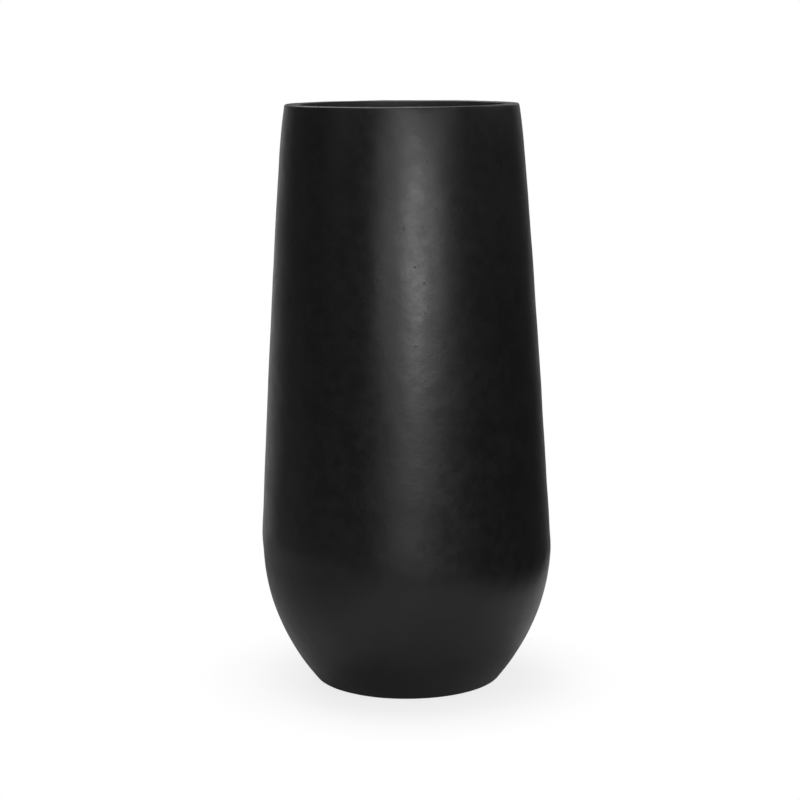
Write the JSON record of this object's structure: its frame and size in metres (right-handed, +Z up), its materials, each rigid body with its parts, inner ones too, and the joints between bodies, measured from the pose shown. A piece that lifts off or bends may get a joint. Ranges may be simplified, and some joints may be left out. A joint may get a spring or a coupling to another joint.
{
  "type": "floor planter",
  "caption": "Tall round floor planter: tapered upper shell on a rounded bowl, flat turned-in rim, plugged drain hole and rubber foot pads.",
  "frame": {"origin": "on the planter's axis at the floor, under the foot pads", "axes": "+Z up along the planter's axis, from the base to the mouth; the first foot pad lies between +X and +Y"},
  "size_m": [0.5, 0.5, 1],
  "materials": {
    "moulding": "satin black gel coat with fine pits and mottling",
    "glass_mat": "dark resin over chopped glass strands, rough",
    "rubber": "matt moulded rubber"
  },
  "bodies": {
    "planter": {"upper_shell": "moulding", "lower_bowl": "moulding", "joint_band": "glass_mat", "foot_pad_1": "rubber", "foot_pad_2": "rubber", "foot_pad_3": "rubber", "foot_pad_4": "rubber"},
    "plug": {"drain_plug": "rubber"}
  },
  "joints": [
    {"name": "plug_pull", "type": "slide", "parent": "planter", "child": "plug", "axis": [0, 0, -1], "range_m": [0, 0.04]}
  ]
}
